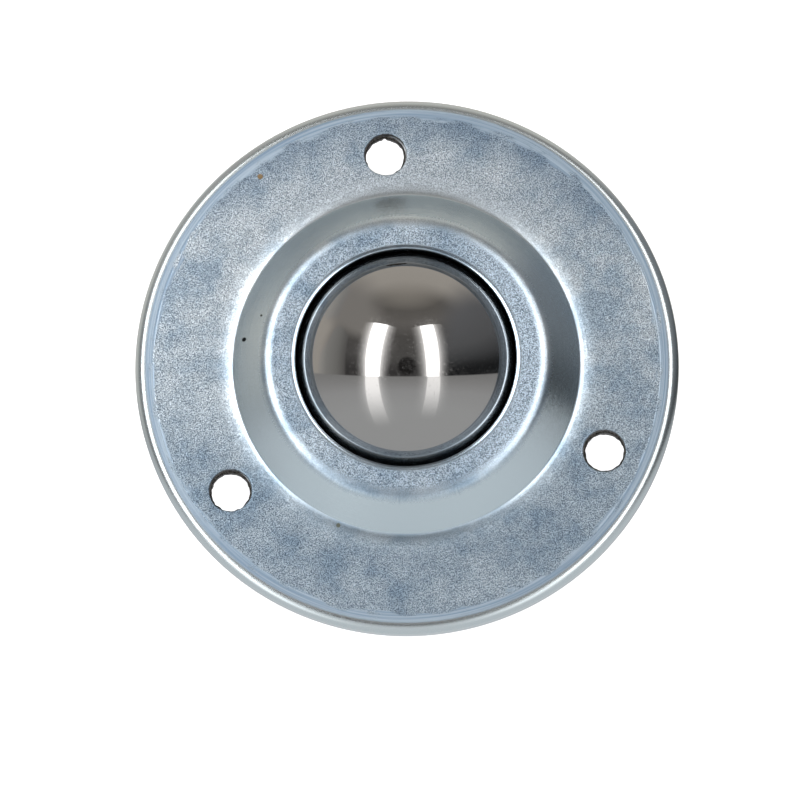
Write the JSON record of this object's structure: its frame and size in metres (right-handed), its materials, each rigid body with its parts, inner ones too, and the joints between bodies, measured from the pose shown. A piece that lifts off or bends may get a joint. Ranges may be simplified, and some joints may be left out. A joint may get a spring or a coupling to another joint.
{
  "type": "ball transfer unit",
  "caption": "Round flanged ball transfer unit: a polished steel load ball rolls on a bed of small balls in a zinc-plated pressed steel housing with fixing holes.",
  "frame": {"origin": "on the unit's axis, in the plane of the fixing holes' lower mouths, which is the underside of the housing's flange; the clinched rim stands on the deck 0.7 mm below it", "axes": "+Z out of the load ball, away from the deck; +Y towards the fixing hole that lies 6 degrees past it; +X to the right of that, seen from the ball's side"},
  "size_m": [0.0604, 0.0604, 0.0327],
  "materials": {
    "zinc_cap": "satin",
    "zinc_housing": "satin",
    "hardened_race": "satin",
    "polished_ball": "polished",
    "support_ball": "polished"
  },
  "bodies": {
    "housing": {"top_cap": "zinc_cap", "lower_housing": "zinc_housing", "race_cup": "hardened_race"},
    "load_ball": {"load_ball": "polished_ball"},
    "support_ball_01": {"support_ball_01": "support_ball"},
    "support_ball_02": {"support_ball_02": "support_ball"},
    "support_ball_03": {"support_ball_03": "support_ball"},
    "support_ball_04": {"support_ball_04": "support_ball"},
    "support_ball_05": {"support_ball_05": "support_ball"},
    "support_ball_06": {"support_ball_06": "support_ball"},
    "support_ball_07": {"support_ball_07": "support_ball"},
    "support_ball_08": {"support_ball_08": "support_ball"},
    "support_ball_09": {"support_ball_09": "support_ball"},
    "support_ball_10": {"support_ball_10": "support_ball"},
    "support_ball_11": {"support_ball_11": "support_ball"},
    "support_ball_12": {"support_ball_12": "support_ball"},
    "support_ball_13": {"support_ball_13": "support_ball"},
    "support_ball_14": {"support_ball_14": "support_ball"},
    "support_ball_15": {"support_ball_15": "support_ball"},
    "support_ball_16": {"support_ball_16": "support_ball"},
    "support_ball_17": {"support_ball_17": "support_ball"},
    "support_ball_18": {"support_ball_18": "support_ball"},
    "support_ball_19": {"support_ball_19": "support_ball"},
    "support_ball_20": {"support_ball_20": "support_ball"},
    "support_ball_21": {"support_ball_21": "support_ball"},
    "support_ball_22": {"support_ball_22": "support_ball"},
    "support_ball_23": {"support_ball_23": "support_ball"},
    "support_ball_24": {"support_ball_24": "support_ball"},
    "support_ball_25": {"support_ball_25": "support_ball"},
    "support_ball_26": {"support_ball_26": "support_ball"},
    "support_ball_27": {"support_ball_27": "support_ball"},
    "support_ball_28": {"support_ball_28": "support_ball"},
    "support_ball_29": {"support_ball_29": "support_ball"},
    "support_ball_30": {"support_ball_30": "support_ball"},
    "support_ball_31": {"support_ball_31": "support_ball"},
    "support_ball_32": {"support_ball_32": "support_ball"},
    "support_ball_33": {"support_ball_33": "support_ball"},
    "support_ball_34": {"support_ball_34": "support_ball"},
    "support_ball_35": {"support_ball_35": "support_ball"},
    "support_ball_36": {"support_ball_36": "support_ball"},
    "support_ball_37": {"support_ball_37": "support_ball"},
    "support_ball_38": {"support_ball_38": "support_ball"},
    "support_ball_39": {"support_ball_39": "support_ball"},
    "support_ball_40": {"support_ball_40": "support_ball"},
    "support_ball_41": {"support_ball_41": "support_ball"},
    "support_ball_42": {"support_ball_42": "support_ball"},
    "support_ball_43": {"support_ball_43": "support_ball"},
    "support_ball_44": {"support_ball_44": "support_ball"},
    "support_ball_45": {"support_ball_45": "support_ball"},
    "support_ball_46": {"support_ball_46": "support_ball"},
    "support_ball_47": {"support_ball_47": "support_ball"},
    "support_ball_48": {"support_ball_48": "support_ball"},
    "support_ball_49": {"support_ball_49": "support_ball"},
    "support_ball_50": {"support_ball_50": "support_ball"},
    "support_ball_51": {"support_ball_51": "support_ball"},
    "support_ball_52": {"support_ball_52": "support_ball"}
  },
  "joints": [
    {"name": "load_ball_roll", "type": "hinge", "parent": "housing", "child": "load_ball", "pos_m": [0, 0, 0.0011], "axis": [0, 1, 0], "continuous": true},
    {"name": "support_ball_01_roll", "type": "hinge", "parent": "housing", "child": "support_ball_01", "pos_m": [0, 0, -0.01403], "axis": [0, 1, 0], "continuous": true},
    {"name": "support_ball_02_roll", "type": "hinge", "parent": "housing", "child": "support_ball_02", "pos_m": [0.00462, 0.00124, -0.01326], "axis": [-0.0251, 0.9966, 0.0779], "continuous": true},
    {"name": "support_ball_03_roll", "type": "hinge", "parent": "housing", "child": "support_ball_03", "pos_m": [0.00124, 0.00462, -0.01326], "axis": [-0.0262, 0.9523, 0.3042], "continuous": true},
    {"name": "support_ball_04_roll", "type": "hinge", "parent": "housing", "child": "support_ball_04", "pos_m": [-0.00338, 0.00338, -0.01326], "axis": [0.0512, 0.9747, 0.2175], "continuous": true},
    {"name": "support_ball_05_roll", "type": "hinge", "parent": "housing", "child": "support_ball_05", "pos_m": [-0.00462, -0.00124, -0.01326], "axis": [-0.0251, 0.9966, -0.0779], "continuous": true},
    {"name": "support_ball_06_roll", "type": "hinge", "parent": "housing", "child": "support_ball_06", "pos_m": [-0.00124, -0.00462, -0.01326], "axis": [-0.0262, 0.9523, -0.3042], "continuous": true},
    {"name": "support_ball_07_roll", "type": "hinge", "parent": "housing", "child": "support_ball_07", "pos_m": [0.00338, -0.00338, -0.01326], "axis": [0.0512, 0.9747, -0.2175], "continuous": true},
    {"name": "support_ball_08_roll", "type": "hinge", "parent": "housing", "child": "support_ball_08", "pos_m": [0.00786, 0.00454, -0.01101], "axis": [-0.1633, 0.954, 0.2515], "continuous": true},
    {"name": "support_ball_09_roll", "type": "hinge", "parent": "housing", "child": "support_ball_09", "pos_m": [0.00416, 0.00807, -0.01101], "axis": [-0.1731, 0.8461, 0.5042], "continuous": true},
    {"name": "support_ball_10_roll", "type": "hinge", "parent": "housing", "child": "support_ball_10", "pos_m": [-0.00086, 0.00903, -0.01101], "axis": [0.0424, 0.8022, 0.5955], "continuous": true},
    {"name": "support_ball_11_roll", "type": "hinge", "parent": "housing", "child": "support_ball_11", "pos_m": [-0.00561, 0.00713, -0.01101], "axis": [0.1982, 0.8819, 0.4277], "continuous": true},
    {"name": "support_ball_12_roll", "type": "hinge", "parent": "housing", "child": "support_ball_12", "pos_m": [-0.00858, 0.00297, -0.01101], "axis": [0.1134, 0.9806, 0.1601], "continuous": true},
    {"name": "support_ball_13_roll", "type": "hinge", "parent": "housing", "child": "support_ball_13", "pos_m": [-0.00882, -0.00214, -0.01101], "axis": [-0.0832, 0.99, -0.1143], "continuous": true},
    {"name": "support_ball_14_roll", "type": "hinge", "parent": "housing", "child": "support_ball_14", "pos_m": [-0.00626, -0.00657, -0.01101], "axis": [-0.1994, 0.9009, -0.3855], "continuous": true},
    {"name": "support_ball_15_roll", "type": "hinge", "parent": "housing", "child": "support_ball_15", "pos_m": [-0.00172, -0.00891, -0.01101], "axis": [-0.0827, 0.8082, -0.5831], "continuous": true},
    {"name": "support_ball_16_roll", "type": "hinge", "parent": "housing", "child": "support_ball_16", "pos_m": [0.00337, -0.00842, -0.01101], "axis": [0.1494, 0.8307, -0.5364], "continuous": true},
    {"name": "support_ball_17_roll", "type": "hinge", "parent": "housing", "child": "support_ball_17", "pos_m": [0.00739, -0.00526, -0.01101], "axis": [0.1813, 0.9375, -0.2969], "continuous": true},
    {"name": "support_ball_18_roll", "type": "hinge", "parent": "housing", "child": "support_ball_18", "pos_m": [0.00906, -0.00043, -0.01101], "axis": [0.0171, 0.9996, -0.0228], "continuous": true},
    {"name": "support_ball_19_roll", "type": "hinge", "parent": "housing", "child": "support_ball_19", "pos_m": [0.00879, 0.00879, -0.00752], "axis": [-0.4151, 0.8138, 0.4068], "continuous": true},
    {"name": "support_ball_20_roll", "type": "hinge", "parent": "housing", "child": "support_ball_20", "pos_m": [0.00476, 0.01149, -0.00752], "axis": [-0.367, 0.6507, 0.6647], "continuous": true},
    {"name": "support_ball_21_roll", "type": "hinge", "parent": "housing", "child": "support_ball_21", "pos_m": [0, 0.01244, -0.00752], "axis": [0, 0.5696, 0.8219], "continuous": true},
    {"name": "support_ball_22_roll", "type": "hinge", "parent": "housing", "child": "support_ball_22", "pos_m": [-0.00476, 0.01149, -0.00752], "axis": [0.367, 0.6507, 0.6647], "continuous": true},
    {"name": "support_ball_23_roll", "type": "hinge", "parent": "housing", "child": "support_ball_23", "pos_m": [-0.00879, 0.00879, -0.00752], "axis": [0.4151, 0.8138, 0.4068], "continuous": true},
    {"name": "support_ball_24_roll", "type": "hinge", "parent": "housing", "child": "support_ball_24", "pos_m": [-0.01149, 0.00476, -0.00752], "axis": [0.2516, 0.9492, 0.1887], "continuous": true},
    {"name": "support_ball_25_roll", "type": "hinge", "parent": "housing", "child": "support_ball_25", "pos_m": [-0.01244, 0, -0.00752], "axis": [0, 1, 0], "continuous": true},
    {"name": "support_ball_26_roll", "type": "hinge", "parent": "housing", "child": "support_ball_26", "pos_m": [-0.01149, -0.00476, -0.00752], "axis": [-0.2516, 0.9492, -0.1887], "continuous": true},
    {"name": "support_ball_27_roll", "type": "hinge", "parent": "housing", "child": "support_ball_27", "pos_m": [-0.00879, -0.00879, -0.00752], "axis": [-0.4151, 0.8138, -0.4068], "continuous": true},
    {"name": "support_ball_28_roll", "type": "hinge", "parent": "housing", "child": "support_ball_28", "pos_m": [-0.00476, -0.01149, -0.00752], "axis": [-0.367, 0.6507, -0.6647], "continuous": true},
    {"name": "support_ball_29_roll", "type": "hinge", "parent": "housing", "child": "support_ball_29", "pos_m": [0, -0.01244, -0.00752], "axis": [0, 0.5696, -0.8219], "continuous": true},
    {"name": "support_ball_30_roll", "type": "hinge", "parent": "housing", "child": "support_ball_30", "pos_m": [0.00476, -0.01149, -0.00752], "axis": [0.367, 0.6507, -0.6647], "continuous": true},
    {"name": "support_ball_31_roll", "type": "hinge", "parent": "housing", "child": "support_ball_31", "pos_m": [0.00879, -0.00879, -0.00752], "axis": [0.4151, 0.8138, -0.4068], "continuous": true},
    {"name": "support_ball_32_roll", "type": "hinge", "parent": "housing", "child": "support_ball_32", "pos_m": [0.01149, -0.00476, -0.00752], "axis": [0.2516, 0.9492, -0.1887], "continuous": true},
    {"name": "support_ball_33_roll", "type": "hinge", "parent": "housing", "child": "support_ball_33", "pos_m": [0.01244, 0, -0.00752], "axis": [0, 1, 0], "continuous": true},
    {"name": "support_ball_34_roll", "type": "hinge", "parent": "housing", "child": "support_ball_34", "pos_m": [0.01149, 0.00476, -0.00752], "axis": [-0.2516, 0.9492, 0.1887], "continuous": true},
    {"name": "support_ball_35_roll", "type": "hinge", "parent": "housing", "child": "support_ball_35", "pos_m": [0.00726, 0.01258, -0.00315], "axis": [-0.7175, 0.5559, 0.4196], "continuous": true},
    {"name": "support_ball_36_roll", "type": "hinge", "parent": "housing", "child": "support_ball_36", "pos_m": [0.00252, 0.0143, -0.00315], "axis": [-0.4827, 0.3264, 0.8127], "continuous": true},
    {"name": "support_ball_37_roll", "type": "hinge", "parent": "housing", "child": "support_ball_37", "pos_m": [-0.00252, 0.0143, -0.00315], "axis": [0.4827, 0.3264, 0.8127], "continuous": true},
    {"name": "support_ball_38_roll", "type": "hinge", "parent": "housing", "child": "support_ball_38", "pos_m": [-0.00726, 0.01258, -0.00315], "axis": [0.7175, 0.5559, 0.4196], "continuous": true},
    {"name": "support_ball_39_roll", "type": "hinge", "parent": "housing", "child": "support_ball_39", "pos_m": [-0.01113, 0.00934, -0.00315], "axis": [0.5764, 0.787, 0.22], "continuous": true},
    {"name": "support_ball_40_roll", "type": "hinge", "parent": "housing", "child": "support_ball_40", "pos_m": [-0.01365, 0.00497, -0.00315], "axis": [0.3135, 0.9446, 0.0975], "continuous": true},
    {"name": "support_ball_41_roll", "type": "hinge", "parent": "housing", "child": "support_ball_41", "pos_m": [-0.01452, 0, -0.00315], "axis": [0, 1, 0], "continuous": true},
    {"name": "support_ball_42_roll", "type": "hinge", "parent": "housing", "child": "support_ball_42", "pos_m": [-0.01365, -0.00497, -0.00315], "axis": [-0.3135, 0.9446, -0.0975], "continuous": true},
    {"name": "support_ball_43_roll", "type": "hinge", "parent": "housing", "child": "support_ball_43", "pos_m": [-0.01113, -0.00934, -0.00315], "axis": [-0.5764, 0.787, -0.22], "continuous": true},
    {"name": "support_ball_44_roll", "type": "hinge", "parent": "housing", "child": "support_ball_44", "pos_m": [-0.00726, -0.01258, -0.00315], "axis": [-0.7175, 0.5559, -0.4196], "continuous": true},
    {"name": "support_ball_45_roll", "type": "hinge", "parent": "housing", "child": "support_ball_45", "pos_m": [-0.00252, -0.0143, -0.00315], "axis": [-0.4827, 0.3264, -0.8127], "continuous": true},
    {"name": "support_ball_46_roll", "type": "hinge", "parent": "housing", "child": "support_ball_46", "pos_m": [0.00252, -0.0143, -0.00315], "axis": [0.4827, 0.3264, -0.8127], "continuous": true},
    {"name": "support_ball_47_roll", "type": "hinge", "parent": "housing", "child": "support_ball_47", "pos_m": [0.00726, -0.01258, -0.00315], "axis": [0.7175, 0.5559, -0.4196], "continuous": true},
    {"name": "support_ball_48_roll", "type": "hinge", "parent": "housing", "child": "support_ball_48", "pos_m": [0.01113, -0.00934, -0.00315], "axis": [0.5764, 0.787, -0.22], "continuous": true},
    {"name": "support_ball_49_roll", "type": "hinge", "parent": "housing", "child": "support_ball_49", "pos_m": [0.01365, -0.00497, -0.00315], "axis": [0.3135, 0.9446, -0.0975], "continuous": true},
    {"name": "support_ball_50_roll", "type": "hinge", "parent": "housing", "child": "support_ball_50", "pos_m": [0.01452, 0, -0.00315], "axis": [0, 1, 0], "continuous": true},
    {"name": "support_ball_51_roll", "type": "hinge", "parent": "housing", "child": "support_ball_51", "pos_m": [0.01365, 0.00497, -0.00315], "axis": [-0.3135, 0.9446, 0.0975], "continuous": true},
    {"name": "support_ball_52_roll", "type": "hinge", "parent": "housing", "child": "support_ball_52", "pos_m": [0.01113, 0.00934, -0.00315], "axis": [-0.5764, 0.787, 0.22], "continuous": true}
  ],
  "couplings": [
    {"joint": "support_ball_01_roll", "follows": "load_ball_roll", "ratio": -2.6667},
    {"joint": "support_ball_02_roll", "follows": "load_ball_roll", "ratio": -2.6577},
    {"joint": "support_ball_03_roll", "follows": "load_ball_roll", "ratio": -2.5394},
    {"joint": "support_ball_04_roll", "follows": "load_ball_roll", "ratio": -2.5992},
    {"joint": "support_ball_05_roll", "follows": "load_ball_roll", "ratio": -2.6577},
    {"joint": "support_ball_06_roll", "follows": "load_ball_roll", "ratio": -2.5394},
    {"joint": "support_ball_07_roll", "follows": "load_ball_roll", "ratio": -2.5992},
    {"joint": "support_ball_08_roll", "follows": "load_ball_roll", "ratio": -2.544},
    {"joint": "support_ball_09_roll", "follows": "load_ball_roll", "ratio": -2.2562},
    {"joint": "support_ball_10_roll", "follows": "load_ball_roll", "ratio": -2.1393},
    {"joint": "support_ball_11_roll", "follows": "load_ball_roll", "ratio": -2.3518},
    {"joint": "support_ball_12_roll", "follows": "load_ball_roll", "ratio": -2.6149},
    {"joint": "support_ball_13_roll", "follows": "load_ball_roll", "ratio": -2.6399},
    {"joint": "support_ball_14_roll", "follows": "load_ball_roll", "ratio": -2.4024},
    {"joint": "support_ball_15_roll", "follows": "load_ball_roll", "ratio": -2.1552},
    {"joint": "support_ball_16_roll", "follows": "load_ball_roll", "ratio": -2.2151},
    {"joint": "support_ball_17_roll", "follows": "load_ball_roll", "ratio": -2.5001},
    {"joint": "support_ball_18_roll", "follows": "load_ball_roll", "ratio": -2.6656},
    {"joint": "support_ball_19_roll", "follows": "load_ball_roll", "ratio": -2.1701},
    {"joint": "support_ball_20_roll", "follows": "load_ball_roll", "ratio": -1.7352},
    {"joint": "support_ball_21_roll", "follows": "load_ball_roll", "ratio": -1.519},
    {"joint": "support_ball_22_roll", "follows": "load_ball_roll", "ratio": -1.7352},
    {"joint": "support_ball_23_roll", "follows": "load_ball_roll", "ratio": -2.1701},
    {"joint": "support_ball_24_roll", "follows": "load_ball_roll", "ratio": -2.5313},
    {"joint": "support_ball_25_roll", "follows": "load_ball_roll", "ratio": -2.6667},
    {"joint": "support_ball_26_roll", "follows": "load_ball_roll", "ratio": -2.5313},
    {"joint": "support_ball_27_roll", "follows": "load_ball_roll", "ratio": -2.1701},
    {"joint": "support_ball_28_roll", "follows": "load_ball_roll", "ratio": -1.7352},
    {"joint": "support_ball_29_roll", "follows": "load_ball_roll", "ratio": -1.519},
    {"joint": "support_ball_30_roll", "follows": "load_ball_roll", "ratio": -1.7352},
    {"joint": "support_ball_31_roll", "follows": "load_ball_roll", "ratio": -2.1701},
    {"joint": "support_ball_32_roll", "follows": "load_ball_roll", "ratio": -2.5313},
    {"joint": "support_ball_33_roll", "follows": "load_ball_roll", "ratio": -2.6667},
    {"joint": "support_ball_34_roll", "follows": "load_ball_roll", "ratio": -2.5313},
    {"joint": "support_ball_35_roll", "follows": "load_ball_roll", "ratio": -1.4825},
    {"joint": "support_ball_36_roll", "follows": "load_ball_roll", "ratio": -0.87042},
    {"joint": "support_ball_37_roll", "follows": "load_ball_roll", "ratio": -0.87042},
    {"joint": "support_ball_38_roll", "follows": "load_ball_roll", "ratio": -1.4825},
    {"joint": "support_ball_39_roll", "follows": "load_ball_roll", "ratio": -2.0987},
    {"joint": "support_ball_40_roll", "follows": "load_ball_roll", "ratio": -2.5189},
    {"joint": "support_ball_41_roll", "follows": "load_ball_roll", "ratio": -2.6667},
    {"joint": "support_ball_42_roll", "follows": "load_ball_roll", "ratio": -2.5189},
    {"joint": "support_ball_43_roll", "follows": "load_ball_roll", "ratio": -2.0987},
    {"joint": "support_ball_44_roll", "follows": "load_ball_roll", "ratio": -1.4825},
    {"joint": "support_ball_45_roll", "follows": "load_ball_roll", "ratio": -0.87042},
    {"joint": "support_ball_46_roll", "follows": "load_ball_roll", "ratio": -0.87042},
    {"joint": "support_ball_47_roll", "follows": "load_ball_roll", "ratio": -1.4825},
    {"joint": "support_ball_48_roll", "follows": "load_ball_roll", "ratio": -2.0987},
    {"joint": "support_ball_49_roll", "follows": "load_ball_roll", "ratio": -2.5189},
    {"joint": "support_ball_50_roll", "follows": "load_ball_roll", "ratio": -2.6667},
    {"joint": "support_ball_51_roll", "follows": "load_ball_roll", "ratio": -2.5189},
    {"joint": "support_ball_52_roll", "follows": "load_ball_roll", "ratio": -2.0987}
  ]
}
